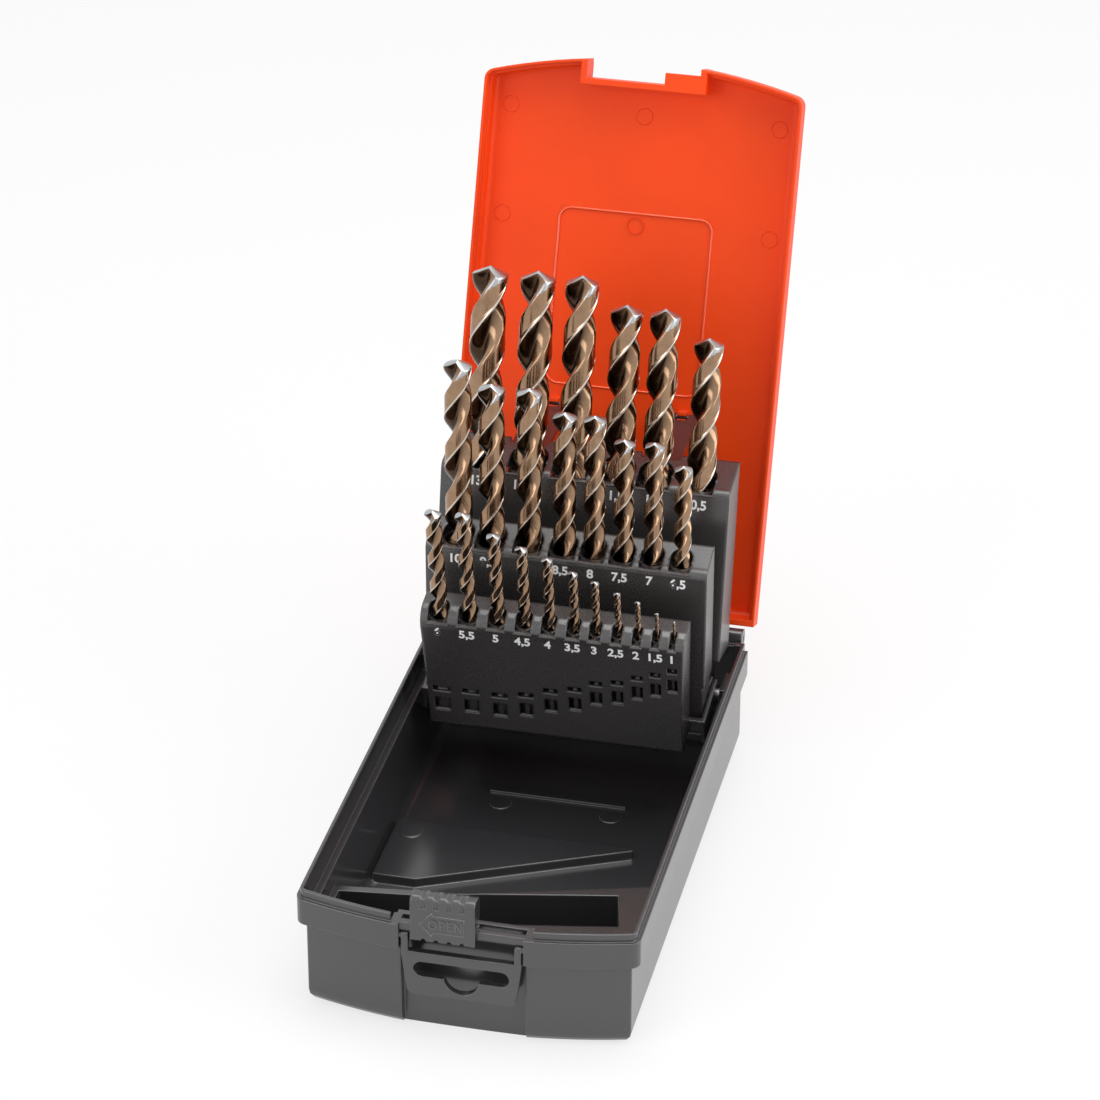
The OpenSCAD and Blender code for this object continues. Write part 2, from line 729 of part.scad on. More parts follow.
// Lug with the long slot that an arm's rod floats in
module lug(x) {
    low = lug_s - 2.6;
    slot_low = lug_s + 0.3;
    slot_high = lug_s + lug_float;
    slot_b = lug_b + 0.3;
    slot_r = arm_rod_d / 2 + 0.55;
    difference() {
        block([x - lug_w / 2, back_end - 2.4, low], [x + lug_w / 2, slot_b + slot_r + 0.5, slot_high + 2.2]);
        for (s = [slot_low, slot_high]) bar(x - lug_w, slot_b, s, 2 * lug_w, 2 * slot_r);
        block([x - lug_w, slot_b - slot_r, slot_low], [x + lug_w, slot_b + slot_r, slot_high]);
    }
}

module rack_back() {
    arm_room = 2.3;
    color(black) stand(-lean_back)
    union() {
        difference() {
            rack(row_back, back_b, back_t, rack_foot, back_h, back_rise, back_edge,
                [back_ear, back_half, back_half], axis_back, back_ledge);
            pin_holes();
            // Troughs that the arms lie in when the case is shut
            for (x = [-arm_x, arm_x])
                block([x - arm_band, back_end - arm_room, 43], [x + arm_band, back_end + 1, back_h + 12]);
        }
        for (x = [-arm_x, arm_x]) lug(x);
    }
}

// ---- Arms ----

// Flat arm with a fork at each end, drawn from the rod in the lug towards the clip
module arm(x) {
    lug_fork = 9;
    clip_fork = 4.5;
    prong = 1.2;
    color(black) translate([x, rod_open[0], rod_open[1]]) rotate([arm_tilt, 0, 0]) {
        difference() {
            block([-arm_w / 2, -prong, -arm_t / 2], [arm_w / 2, arm_l + prong, arm_t / 2]);
            block([-fork_gap / 2, -prong - 1, -arm_t], [fork_gap / 2, lug_fork, arm_t]);
            block([-fork_gap / 2, arm_l - clip_fork, -arm_t], [fork_gap / 2, arm_l + prong + 1, arm_t]);
        }
        for (y = [0, arm_l]) bar(-fork_gap / 2 - 1, y, 0, fork_gap + 2, arm_rod_d);
    }
}

module arm_left() {
    arm(-arm_x);
}

module arm_right() {
    arm(arm_x);
}

// ---- Drills ----

// One ring of a drill: depth is 0 on the round shank and 1 in the full flutes
function ring(r, z, turn, depth) = [for (side = [0, 180], p = flute_section)
    let (q = r * (1 - depth * (1 - p[1]))) [q * cos(p[0] + side + turn), q * sin(p[0] + side + turn), z]];

// Right-hand drill that stands on its shank
module drill(d, l, flute) {
    r = d / 2;
    lead = PI * d / tan(helix);
    point = r / tan(point_angle / 2);
    start = l - flute;
    steps = ceil(360 * (flute - point) / lead / ring_turn);
    rings = concat([ring(r, 0, 0, 0), ring(r, start, 0, 0)],
        [for (i = [1 : steps]) let (z = start + (flute - point) * i / steps)
            ring(r, z, 360 * (z - start) / lead, min(1, (z - start) / d))],
        [ring(r * 0.12, l, 360 * flute / lead, 0.3)]);
    color(bronze) lofted(rings);
}

// Drill of one size, in its sleeve
module seated(d, row, axis, lean) {
    size = jobber[search(d, jobber)[0]];
    for (p = row) if (p[0] == d)
        stand(lean) translate([p[1], axis, p[2] + press]) drill(d, size[1], size[2]);
}

module back_drill(d) {
    seated(d, row_back, axis_back, -lean_back);
}

module middle_drill(d) {
    seated(d, row_middle, axis_middle, lean_middle);
}

module front_drill(d) {
    seated(d, row_front, axis_front, lean_front);
}

base();
lid();
latch_slider();
hanger_tab();
hinge_pin();
rack_front();
rack_middle();
rack_back();
rack_pin_left();
rack_pin_right();
arm_left();
arm_right();
back_drill(13);  // drill_13
back_drill(12.5);  // drill_12_5
back_drill(12);  // drill_12
back_drill(11.5);  // drill_11_5
back_drill(11);  // drill_11
back_drill(10.5);  // drill_10_5
middle_drill(10);  // drill_10
middle_drill(9.5);  // drill_9_5
middle_drill(9);  // drill_9
middle_drill(8.5);  // drill_8_5
middle_drill(8);  // drill_8
middle_drill(7.5);  // drill_7_5
middle_drill(7);  // drill_7
middle_drill(6.5);  // drill_6_5
front_drill(6);  // drill_6
front_drill(5.5);  // drill_5_5
front_drill(5);  // drill_5
front_drill(4.5);  // drill_4_5
front_drill(4);  // drill_4
front_drill(3.5);  // drill_3_5
front_drill(3);  // drill_3
front_drill(2.5);  // drill_2_5
front_drill(2);  // drill_2
front_drill(1.5);  // drill_1_5
front_drill(1);  // drill_1
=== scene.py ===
# %% [markdown]
# # A case of twist drills
# The object is a flat plastic case that stands open: a black tray, an orange lid that leans back, three
# black racks that have swung up with the lid, and twenty-five bronze-coloured drills in their sleeves.
# The solid model gives every piece its size and place. This file gives each one its finish, and makes the
# drills, the numbers and the small trim as meshes of their own.

# %% Load the frame
import json
import math

import bmesh
import bpy
from mathutils import Matrix, Vector

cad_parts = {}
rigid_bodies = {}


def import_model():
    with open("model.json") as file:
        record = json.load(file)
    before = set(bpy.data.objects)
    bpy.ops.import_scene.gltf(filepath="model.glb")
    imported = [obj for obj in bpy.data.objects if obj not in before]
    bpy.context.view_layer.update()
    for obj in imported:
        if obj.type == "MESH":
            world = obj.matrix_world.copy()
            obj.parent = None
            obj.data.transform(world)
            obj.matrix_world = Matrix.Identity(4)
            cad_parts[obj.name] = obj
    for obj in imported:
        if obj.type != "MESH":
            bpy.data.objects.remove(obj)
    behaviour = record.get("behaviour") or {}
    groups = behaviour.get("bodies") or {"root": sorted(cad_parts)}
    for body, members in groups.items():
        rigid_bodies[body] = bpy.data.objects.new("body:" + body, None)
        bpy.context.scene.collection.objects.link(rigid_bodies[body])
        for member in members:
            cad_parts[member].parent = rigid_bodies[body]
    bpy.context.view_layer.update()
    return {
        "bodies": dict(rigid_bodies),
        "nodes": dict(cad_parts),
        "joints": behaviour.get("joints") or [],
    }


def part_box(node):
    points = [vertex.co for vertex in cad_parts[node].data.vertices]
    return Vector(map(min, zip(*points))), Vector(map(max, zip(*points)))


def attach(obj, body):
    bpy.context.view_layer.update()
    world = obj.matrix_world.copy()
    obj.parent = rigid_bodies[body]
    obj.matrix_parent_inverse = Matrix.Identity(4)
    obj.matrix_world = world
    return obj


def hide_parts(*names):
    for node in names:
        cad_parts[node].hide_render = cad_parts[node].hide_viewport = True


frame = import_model()
joints = {joint["name"]: joint for joint in frame["joints"]}
MM = 0.001
print("nodes", len(frame["nodes"]), "bodies", len(frame["bodies"]))

# %% [markdown]
# ## Camera
# The picture is taken from above the front right corner with a long lens, so the lines of the case hardly
# converge. A camera can be aimed at an object by a constraint. Here its place, turn and focal length are
# plain numbers, because a view that has to match a photograph needs each of them on its own.

# %% Camera
CAMERA_PLACE = Vector((292.8, -1244.3, 868.8)) * MM
CAMERA_TURN = 12.98
CAMERA_DOWN = 30.01
CAMERA_ROLL = 0.11
LENS_MM = 142.2
SENSOR_MM = 36.0
FARTHEST = 20.0

camera_data = bpy.data.cameras.new("camera")
camera_data.lens = LENS_MM
camera_data.sensor_width = SENSOR_MM
camera_data.clip_end = FARTHEST
camera = bpy.data.objects.new("camera", camera_data)
bpy.context.collection.objects.link(camera)
camera.matrix_world = (
    Matrix.Translation(CAMERA_PLACE)
    @ Matrix.Rotation(math.radians(CAMERA_TURN), 4, "Z")
    @ Matrix.Rotation(math.radians(90 - CAMERA_DOWN), 4, "X")
    @ Matrix.Rotation(math.radians(CAMERA_ROLL), 4, "Z")
)
bpy.context.scene.camera = camera
bpy.context.scene.view_settings.view_transform = "Standard"
print("camera stands", round(CAMERA_PLACE.length, 2), "m away")

# %% [markdown]
# ## Shader maths as Python
# A finish is a small calculation: noise, masks and mixes. It can be wired by hand in the shader editor,
# but a long calculation is hard to read there. One class wraps a socket and lets `1 - mask * 0.5` add the
# Math nodes by itself. A second one makes every other kind of node by one method, so a node is always a
# type, its settings and its sockets.

# %% Sockets in expressions
class Wire:
    """One output socket of a node, usable in expressions."""

    def __init__(self, nodes, socket):
        self.nodes = nodes
        self.socket = socket

    def _math(self, operation, first, second):
        return self.nodes.node("ShaderNodeMath", {"operation": operation}, {0: first, 1: second})["Value"]

    def __add__(self, other):
        return self._math("ADD", self, other)

    __radd__ = __add__

    def __sub__(self, other):
        return self._math("SUBTRACT", self, other)

    def __rsub__(self, other):
        return self._math("SUBTRACT", other, self)

    def __mul__(self, other):
        return self._math("MULTIPLY", self, other)

    __rmul__ = __mul__

    def most(self, other):
        return self._math("MAXIMUM", self, other)

    def least(self, other):
        return self._math("MINIMUM", self, other)


class Outputs:
    """The outputs of a new node, by name or by number."""

    def __init__(self, nodes, made):
        self.nodes = nodes
        self.made = made

    def __getitem__(self, key):
        return Wire(self.nodes, self.made.outputs[key])


# %% One method for all nodes
class Nodes:
    """A node tree of a material or of the world."""

    def __init__(self, tree):
        self.tree = tree

    def feed(self, target, value):
        """Link a wire to a socket, or set the socket's own value; a colour may leave out its alpha."""
        if isinstance(value, Wire):
            self.tree.links.new(value.socket, target)
        elif isinstance(value, tuple) and len(value) == 3 and len(target.default_value) == 4:
            target.default_value = (*value, 1.0)
        else:
            target.default_value = value

    def node(self, kind, settings=None, sockets=None):
        """A new node: its settings come first, then the values or links of its sockets."""
        made = self.tree.nodes.new(kind)
        for name, value in (settings or {}).items():
            setattr(made, name, value)
        for name, value in (sockets or {}).items():
            self.feed(made.inputs[name], value)
        return Outputs(self, made)


# %% [markdown]
# ## Finishes
# Each material is one principled shader with a few helpers: noise, a mix of two colours, and relief for
# the grain. Moulded and ground edges are never quite sharp. They could be bevelled in the mesh. The Bevel
# node only bends the shading, which leaves the solids as they are. Where the bent normal departs from the
# true one there is an edge, so the same node also gives a mask there. Along it the colour turns paler: a
# painted highlight in place of the light that a rounded edge would catch.

# %% Finishes
# Cosine between bent and true normal at which the painted highlight along an edge starts, and how steeply
# it then grows
HIGHLIGHT_START = 0.94
HIGHLIGHT_GAIN = 6.0
BEVEL_SAMPLES = 6
# The Mix node has sockets for every kind of data, and these are the ones for colours
MIX_LOW, MIX_HIGH, MIX_RESULT = 6, 7, 2


class Finish(Nodes):
    """A material with one principled shader."""

    def __init__(self, name, **constants):
        """The constants are named after the shader's sockets, with _ for each space."""
        self.material = bpy.data.materials.new(name)
        self.material.use_nodes = True
        super().__init__(self.material.node_tree)
        self.shader = self.tree.nodes["Principled BSDF"]
        for socket, value in constants.items():
            self.set(socket.replace("_", " "), value)

    def set(self, socket, value):
        self.feed(self.shader.inputs[socket], value)

    def place(self):
        return self.node("ShaderNodeTexCoord")["Object"]

    def noise(self, scale, detail, roughness=0.5, vector=None):
        sockets = {"Scale": scale, "Detail": detail, "Roughness": roughness}
        sockets["Vector"] = vector or self.place()
        return self.node("ShaderNodeTexNoise", {}, sockets)["Fac"]

    def mix(self, mask, low, high):
        """One colour where the mask is 0, the other where it is 1."""
        sockets = {0: mask, MIX_LOW: low, MIX_HIGH: high}
        return self.node("ShaderNodeMix", {"data_type": "RGBA"}, sockets)[MIX_RESULT]

    def stretch(self, vector, scale):
        """Scale a place along each axis, so that a noise is drawn out where the scale is small."""
        return self.node("ShaderNodeVectorMath", {"operation": "MULTIPLY"}, {0: vector, 1: scale})["Vector"]

    def rounded_normal(self, radius):
        return self.node("ShaderNodeBevel", {"samples": BEVEL_SAMPLES}, {"Radius": radius})["Normal"]

    def edges(self, radius):
        """A mask that is 1 along sharp edges and 0 on flat and gently curved surfaces, for the painted edge
        highlight.
        """
        true_normal = self.node("ShaderNodeNewGeometry")["True Normal"]
        sockets = {0: self.rounded_normal(radius), 1: true_normal}
        along = self.node("ShaderNodeVectorMath", {"operation": "DOT_PRODUCT"}, sockets)["Value"]
        return ((HIGHLIGHT_START - along) * HIGHLIGHT_GAIN).most(0.0).least(1.0)

    def relief(self, height, distance, strength, rounding=0.0):
        """Bump the shading by a height, on top of rounded edges where a rounding is given."""
        sockets = {"Height": height, "Distance": distance, "Strength": strength}
        if rounding:
            sockets["Normal"] = self.rounded_normal(rounding)
        self.set("Normal", self.node("ShaderNodeBump", {}, sockets)["Normal"])


# %% [markdown]
# ## Moulded plastic
# All the plastic is injection moulded, and each part takes its surface from its own tool: the tray and
# the latch are satin, the racks duller, the two links glossy, and the lid nearly matt. An image of
# scuffed plastic would show where it repeats, so noise gives the surface instead. Roughness and colour
# drift a little over a broad noise, and a fine one is the grain. One function makes all seven finishes,
# and only its values differ.

# %% Plastic finishes
# Width of the painted highlight along each edge, on either side of it
EDGE_HIGHLIGHT_MM = 0.3
PLASTIC_IOR = 1.5
# Waves of the broad noise to the metre, and the shares of the colour that it moves between
BROAD_SCALE = 18.0
DARKER = 0.82
LIGHTER = 1.16
GRAIN_ROUGHNESS = 0.12
GRAIN_STRENGTH = 0.6


def plastic(name, colour, edge_highlight_colour, roughness, drift, grain_mm, grain_height_mm, rounding_mm, shine):
    """A moulded plastic: drift is how far its roughness wanders, and shine its specular level."""
    made = Finish(name, Specular_IOR_Level=shine, IOR=PLASTIC_IOR)
    broad = made.noise(BROAD_SCALE, detail=3.0)
    fine = made.noise(1.0 / (grain_mm * MM), detail=2.0)
    darker = tuple(DARKER * channel for channel in colour)
    lighter = tuple(LIGHTER * channel for channel in colour)
    surface = made.mix(broad, darker, lighter)
    # Along the edges the base colour turns paler: a painted highlight
    made.set("Base Color", made.mix(made.edges(EDGE_HIGHLIGHT_MM * MM), surface, edge_highlight_colour))
    made.set("Roughness", roughness + drift * (broad - 0.5) + GRAIN_ROUGHNESS * (fine - 0.5))
    made.relief(fine, grain_height_mm * MM, GRAIN_STRENGTH, rounding_mm * MM)
    return made.material


case_black = plastic(
    "case_black", colour=(0.036, 0.0345, 0.037), edge_highlight_colour=(0.20, 0.19, 0.20),
    roughness=0.21, drift=0.08, grain_mm=0.35, grain_height_mm=0.002, rounding_mm=0.8, shine=1.0,
)
trim_black = plastic(
    "trim_black", colour=(0.036, 0.035, 0.037), edge_highlight_colour=(0.24, 0.23, 0.235),
    roughness=0.20, drift=0.08, grain_mm=0.25, grain_height_mm=0.004, rounding_mm=1.1, shine=1.0,
)
rack_black = plastic(
    "rack_black", colour=(0.034, 0.0305, 0.030), edge_highlight_colour=(0.11, 0.105, 0.10),
    roughness=0.28, drift=0.10, grain_mm=0.30, grain_height_mm=0.005, rounding_mm=1.2, shine=1.0,
)
arm_black = plastic(
    "arm_black", colour=(0.030, 0.028, 0.029), edge_highlight_colour=(0.10, 0.09, 0.09),
    roughness=0.16, drift=0.05, grain_mm=0.5, grain_height_mm=0.004, rounding_mm=0.3, shine=1.0,
)
lid_orange = plastic(
    "lid_orange", colour=(0.86, 0.060, 0.002), edge_highlight_colour=(0.90, 0.12, 0.03),
    roughness=0.46, drift=0.10, grain_mm=0.80, grain_height_mm=0.018, rounding_mm=0.6, shine=0.26,
)
# The edge of the lid's panel is polished, and the latch's letters have sharper edges than the latch itself
lid_polished = plastic(
    "lid_polished", colour=(0.86, 0.080, 0.006), edge_highlight_colour=(0.90, 0.12, 0.03),
    roughness=0.12, drift=0.02, grain_mm=0.80, grain_height_mm=0.001, rounding_mm=0.1, shine=1.0,
)
sign_black = plastic(
    "sign_black", colour=(0.044, 0.043, 0.045), edge_highlight_colour=(0.24, 0.23, 0.235),
    roughness=0.18, drift=0.02, grain_mm=0.25, grain_height_mm=0.001, rounding_mm=0.1, shine=1.0,
)
PLASTICS = (case_black, trim_black, rack_black, arm_black, lid_orange, lid_polished, sign_black)
print("plastic finishes", [material.name for material in PLASTICS])

# %% [markdown]
# ## Drawn steel
# The hinge pin and the two rack pins are cut from drawn wire, whose fine scratches run along it. A
# brushed image would need the pins unwrapped. Noise that is squeezed across the pin and drawn out along
# it gives the same streaks, and drives colour, roughness and relief together, as real scratches do.

# %% Steel finish
# Waves of the noise to the metre, along the pin and across it
STREAKS_ALONG = 30.0
STREAKS_ACROSS = 2500.0
STREAK_HEIGHT_MM = 0.01
# Roughness between the scratches, and what a scratch adds to it
WIRE_ROUGHNESS = 0.22
SCRATCH_ROUGHNESS = 0.2


def drawn_steel():
    made = Finish("pin_steel", Metallic=1.0)
    streaks = made.stretch(made.place(), (STREAKS_ALONG, STREAKS_ACROSS, STREAKS_ACROSS))
    scratch = made.noise(1.0, detail=4.0, roughness=0.6, vector=streaks)
    made.set("Base Color", made.mix(scratch, (0.42, 0.42, 0.43), (0.66, 0.66, 0.68)))
    made.set("Roughness", WIRE_ROUGHNESS + SCRATCH_ROUGHNESS * scratch)
    made.relief(scratch, STREAK_HEIGHT_MM * MM, strength=0.5)
    return made.material


pin_steel = drawn_steel()
print(pin_steel.name, "made")

# %% [markdown]
# ## The solid model's own pieces
# Tray, lid, latch, hanging tab, racks, links and pins keep the meshes of the solid model, because their
# true edges and openings are already there. Each one only takes its finish.

# %% Finish the case's pieces
CASE_PIECES = (
    ("base", case_black),
    ("lid", lid_orange),
    ("latch_slider", trim_black),
    ("hanger_tab", trim_black),
    ("hinge_pin", pin_steel),
    ("rack_pin_left", pin_steel),
    ("rack_pin_right", pin_steel),
    ("rack_front", rack_black),
    ("rack_middle", rack_black),
    ("rack_back", rack_black),
    ("arm_left", arm_black),
    ("arm_right", arm_black),
)
for node, material in CASE_PIECES:
    coats = bpy.data.objects[node].data.materials
    coats.clear()
    coats.append(material)
print("pieces with a finish", len(CASE_PIECES))

# %% [markdown]
# ## Sizes and places of the drills
# The drills are a standard set, so their lengths follow from their diameters. They stand in three racks,
# and each rack has its own lean. Every place could be written out in the room's directions. It is simpler
# to give each rack a frame at the pins that it swings on, and to work in its own straight directions:
# across, back and up.

# %% Drill sizes
# Diameter, whole length and flute length of the jobber series, in millimetres
JOBBER = {
    1: (34, 12), 1.5: (40, 18), 2: (49, 24), 2.5: (57, 30), 3: (61, 33), 3.5: (70, 39), 4: (75, 43),
    4.5: (80, 47), 5: (86, 52), 5.5: (93, 57), 6: (93, 57), 6.5: (101, 63), 7: (109, 69), 7.5: (109, 69),
    8: (117, 75), 8.5: (117, 75), 9: (125, 81), 9.5: (125, 81), 10: (133, 87), 10.5: (133, 87),
    11: (142, 94), 11.5: (142, 94), 12: (151, 101), 12.5: (151, 101), 13: (151, 101),
}


def node_name(size):
    return "drill_" + f"{size:g}".replace(".", "_")


# %% Racks
# The pins are the same for all three racks
PIVOT = Vector(joints["rack_front_hinge"]["pos_m"])


class Rack:
    """A rack's own frame and its heights and depths there, in millimetres from the pins.

    front is its front face, axis the line of its drills, ledge the foot of its notches, label the middle
    of its printed numbers, and seats the floor under each drill.
    """

    def __init__(self, name, lean, front, axis, ledge, label, sizes, seats):
        self.name = name
        self.front = front
        self.axis = axis
        self.ledge = ledge
        self.label = label
        self.sizes = sizes
        self.seats = seats
        self.frame = Matrix.Translation(PIVOT) @ Matrix.Rotation(math.radians(lean), 4, "X")

    def across(self, size):
        """The drill's place across the rack, from its solid."""
        low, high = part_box(node_name(size))
        return (low[0] + high[0]) / 2

    def seat(self, size):
        return self.seats[self.sizes.index(size)] * MM


racks = (
    Rack(
        "rack_front", lean=11, front=-34.0, axis=-28.5, ledge=49.0, label=45.2,
        sizes=(6, 5.5, 5, 4.5, 4, 3.5, 3, 2.5, 2, 1.5, 1),
        seats=(3.7, 4.0, 3.1, 4.6, 5.9, 5.9, 11.8, 11.7, 16.7, 21.4, 24.5),
    ),
    Rack(
        "rack_middle", lean=0, front=-20.0, axis=-13.0, ledge=60.0, label=55.6,
        sizes=(10, 9.5, 9, 8.5, 8, 7.5, 7, 6.5), seats=8 * (-1.5,),
    ),
    Rack(
        "rack_back", lean=-12, front=-5.4, axis=3.1, ledge=76.0, label=71.8,
        sizes=(13, 12.5, 12, 11.5, 11, 10.5), seats=6 * (-1.6,),
    ),
)
for rack in racks:
    print(rack.name, [(size, round(rack.across(size) / MM, 1)) for size in rack.sizes])

# %% [markdown]
# ## Bronze-coloured steel
# A real drill of this kind is dark bronze in its flutes, lighter on its lands, and bright where it was
# ground last: on the thin margins and the point. The flutes are painted darker still, as painted shade and
# painted dark reflection, darkest beside the lip. Four materials on one mesh would give hard steps between
# them. Instead the mesh carries three masks as a vertex colour, and one material mixes its colours by
# them.

# %% Bronze finish
# Waves to the metre. Grinding marks lie close together across the drill, and are long along it.
GRINDING = (5200.0, 5200.0, 420.0)
GRINDING_HEIGHT_MM = 0.004
HAZE_SCALE = 260.0
# Roughness of the smoothest metal, and what haze, grinding and the point add to it
SMOOTHEST = 0.13
HAZE_ROUGHNESS = 0.07
GRINDING_ROUGHNESS = 0.05
POINT_ROUGHNESS = 0.12


def bronze():
    """Red marks the ground margins, green the painted shade in the flutes, blue the point."""
    made = Finish("drill_bronze", Metallic=1.0)
    colour = made.node("ShaderNodeAttribute", {"attribute_name": "finish"})["Color"]
    masks = made.node("ShaderNodeSeparateColor", {}, {0: colour})
    # The green mask, called depth here, is painted shade and dark reflection in the flutes
    margin, depth, tip = masks["Red"], masks["Green"], masks["Blue"]
    haze = made.noise(HAZE_SCALE, detail=4.0, roughness=0.6)
    marks = made.stretch(made.place(), GRINDING)
    ground = made.noise(1.0, detail=3.0, roughness=0.6, vector=marks)
    land = made.mix(haze, (0.22, 0.130, 0.078), (0.46, 0.300, 0.190))
    # The flutes' dark bronze, darkened further as painted shade and painted reflection
    painted_flute_shade = made.mix(haze, (0.020, 0.012, 0.008), (0.105, 0.062, 0.037))
    body = made.mix(depth, land, painted_flute_shade)
    silver = made.mix(ground, (0.52, 0.45, 0.38), (0.78, 0.71, 0.64))
    point = made.mix(ground, (0.33, 0.34, 0.35), (0.58, 0.59, 0.60))
    made.set("Base Color", made.mix(tip, made.mix(margin, body, silver), point))
    roughness = SMOOTHEST + HAZE_ROUGHNESS * haze + GRINDING_ROUGHNESS * ground + POINT_ROUGHNESS * tip
    made.set("Roughness", roughness)
    made.relief(ground, GRINDING_HEIGHT_MM * MM, strength=0.4)
    return made.material


drill_bronze = bronze()
print(drill_bronze.name, "made")

# %% [markdown]
# ## The drill's shape
# A twist drill is one cross-section swept along a screw line. The section has two flutes, two lands, and
# a thin bright margin on the leading edge of each land. Flutes could be cut from a rod with booleans,
# which is slow and leaves ragged faces at the point. Here rings of the section are stacked and turned
# instead. Each column of the mesh ends where it meets the cone of the point, so the point is part of the
# same sweep, and one function makes all twenty-five sizes.

# %% The section of a drill
# Angle of the flutes to the drill's axis, and the full angle of the cone at its point
HELIX = 38.0
POINT_ANGLE = 130.0
# From the lip to the heel: angle in degrees and radius as a share of the drill's
FLUTE = (
    (0.0, 1.0), (1.5, 0.975), (5.0, 0.87), (9.5, 0.70), (14.5, 0.52), (22.0, 0.37), (33.0, 0.28),
    (47.0, 0.25), (62.0, 0.31), (77.0, 0.44), (89.0, 0.62), (98.0, 0.80),
)
HEEL = (104.0, 0.935)
# The land lies a little below the margin, in even steps that end where the margin rises
LAND_SHARE = 0.965
LAND_START = 108.5
LAND_TURN = 62.0
LAND_STEPS = 6
MARGIN = ((170.5, LAND_SHARE), (172.0, 1.0), (176.0, 1.0))


def half_section():
    """Half a turn of the section, seen from the point: angle, share of the radius, kind of surface."""
    land = [HEEL] + [(LAND_START + LAND_TURN * step / LAND_STEPS, LAND_SHARE) for step in range(LAND_STEPS)]
    kinds = (("flute", FLUTE), ("land", land), ("margin", MARGIN))
    return [(angle, share, kind) for kind, points in kinds for angle, share in points]


SECTION = [(angle + side, share, kind) for side in (0, 180) for angle, share, kind in half_section()]
print("points round a drill", len(SECTION))

# %% Masks for the finish
# Colours without any shading of the section: bronze as on a land, and ground bright
PLAIN = (0, 0, 0, 1)
GROUND = (0, 0, 1, 1)
# Where a flute's painted shade ends, and the angles over which it darkens behind the lip and pales to the
# heel
FLUTE_TURN = 100
LIP_FADE = 4
HEEL_FADE = 52
# The ground heel: where it starts, how far round it reaches, and its drop below the point in diameters
HEEL_START = 98
HEEL_TURN = 52
HEEL_DROP = 0.42


def mask(angle, kind, below_point):
    """Vertex colour of a column of the mesh: margin, painted shade of the flute, ground point.

    The painted shade of a flute is darkest beside the lip. The point's grinding also takes in the heel,
    just below the point.
    """
    around = angle % 180
    shade = min(1.0, around / LIP_FADE, (FLUTE_TURN - around) / HEEL_FADE) if around < FLUTE_TURN else 0.0
    beyond = (around - HEEL_START) / HEEL_TURN
    ground = 0 < beyond < 1 and below_point < HEEL_DROP * (1 - beyond)
    return (1.0 if kind == "margin" else 0.0, shade, 1.0 if ground else 0.0, 1.0)


# %% Rings from foot to point
STEPS_PER_TURN = 48
FEWEST_STEPS = 40
# Shares of the diameter: the chamfer at the foot, and the length over which the flutes run out
CHAMFER = 0.06
RUNOUT = 1.2
FOOT_SHARE = 0.94


class Drill:
    """A standing drill with its foot at the origin, in metres. Its lips point along turn, in degrees."""

    def __init__(self, size, turn):
        self.width = size * MM
        self.turn = turn
        self.length, self.flutes = (value * MM for value in JOBBER[size])
        self.radius = self.width / 2
        self.start = self.length - self.flutes
        self.lead = math.pi * self.width / math.tan(math.radians(HELIX))
        self.steps = max(FEWEST_STEPS, int(self.flutes / self.lead * STEPS_PER_TURN))

    def vertex(self, made, angle, reach, height):
        twist = 2 * math.pi * (max(height, self.start) - self.length) / self.lead
        around = math.radians(angle + self.turn) + twist
        return made.verts.new((reach * math.cos(around), reach * math.sin(around), height))

    def shank_rings(self, made):
        """The chamfered foot and a round, straight shank."""
        rings = []
        for height, share in ((0.0, FOOT_SHARE), (CHAMFER * self.width, 1.0), (self.start / 2, 1.0)):
            rings.append([self.vertex(made, angle, self.radius * share, height) for angle, _, _ in SECTION])
        return rings

    def flute_rings(self, made):
        """Rings that turn along the screw line, deepen over the runout and end on the cone of the point."""
        slope = 1 / math.tan(math.radians(POINT_ANGLE / 2))
        rings = []
        for step in range(self.steps + 1):
            ring = []
            for angle, share, _ in SECTION:
                top = self.length - share * self.radius * slope
                height = self.start + (top - self.start) * step / self.steps
                depth = min(1.0, (height - self.start) / (RUNOUT * self.width))
                depth = depth * depth * (3 - 2 * depth)
                ring.append(self.vertex(made, angle, self.radius * (1 - depth * (1 - share)), height))
            rings.append(ring)
        return rings


# %% Skin and ends of a drill
# Edges that turn by more than this many degrees stay sharp
CREASE = 32


def paint(face, layer, colour):
    for loop in face.loops:
        loop[layer] = colour


def skin(made, layer, drill, rings, last_plain):
    """Faces between each ring and the next, with the masks on the corners above the last plain row."""
    count = len(SECTION)
    for row, (below, above) in enumerate(zip(rings, rings[1:])):
        below_point = (drill.flutes / drill.width) * (len(rings) - 2 - row) / drill.steps
        for column in range(count):
            after = (column + 1) % count
            face = made.faces.new((below[column], below[after], above[after], above[column]))
            face.smooth = True
            for loop, side in zip(face.loops, (column, after, after, column)):
                colour = mask(SECTION[side][0], SECTION[column][2], below_point)
                loop[layer] = colour if row > last_plain else PLAIN


def close_ends(made, layer, drill, rings):
    """A flat foot, and a fan of ground faces up to the peak."""
    paint(made.faces.new(list(reversed(rings[0]))), layer, PLAIN)
    peak = made.verts.new((0, 0, drill.length))
    last = rings[-1]
    for here, after in zip(last, last[1:] + last[:1]):
        paint(made.faces.new((here, after, peak)), layer, GROUND)


